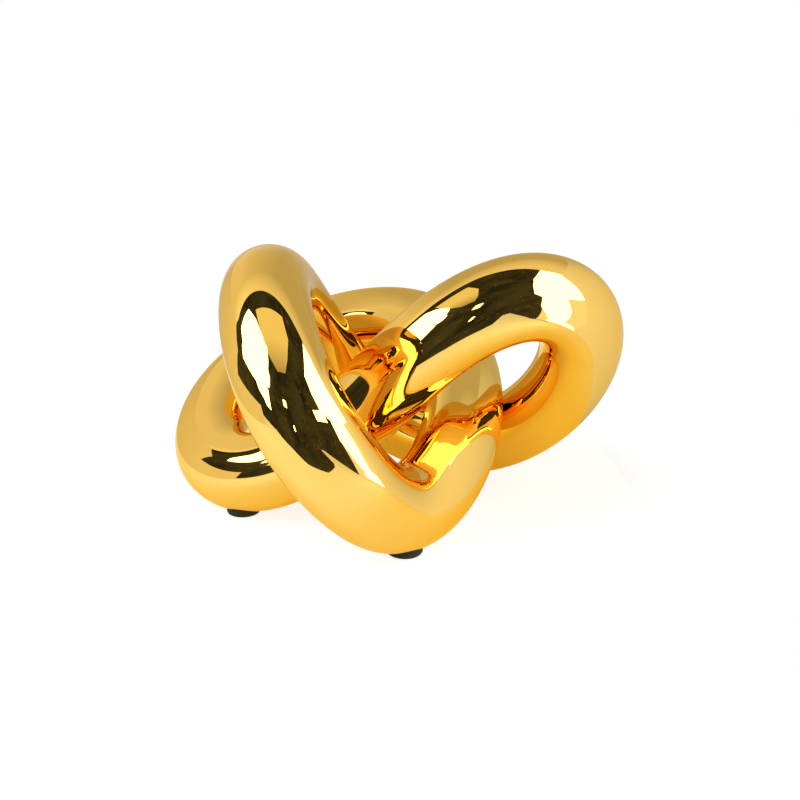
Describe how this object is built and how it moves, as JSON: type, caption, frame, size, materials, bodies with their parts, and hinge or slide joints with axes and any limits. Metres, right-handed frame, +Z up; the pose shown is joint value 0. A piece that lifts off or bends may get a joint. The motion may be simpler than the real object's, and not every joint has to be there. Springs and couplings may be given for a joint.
{
  "type": "metal knot sculpture",
  "caption": "Polished gold-coloured metal tube tied in a closed three-lobed knot, cast in hollow lengths joined on inner sleeves, on rubber feet",
  "frame": {"origin": "centre of the bounding box's footprint, on the floor under the rubber feet", "axes": "+X to the right and -Y towards the viewer as in the picture, +Z up"},
  "size_m": [0.1652, 0.1698, 0.0987],
  "materials": {
    "gold_plated_casting": "mirror polished and gold plated",
    "joint_sleeve": "turned, unplated",
    "foot_rubber": "matte black"
  },
  "bodies": {
    "root": {"front_lobe": "gold_plated_casting", "right_lobe": "gold_plated_casting", "left_lobe": "gold_plated_casting", "front_right_sleeve": "joint_sleeve", "right_left_sleeve": "joint_sleeve", "left_front_sleeve": "joint_sleeve", "front_foot_pad": "foot_rubber", "right_foot_pad": "foot_rubber", "left_foot_pad": "foot_rubber"}
  },
  "joints": []
}
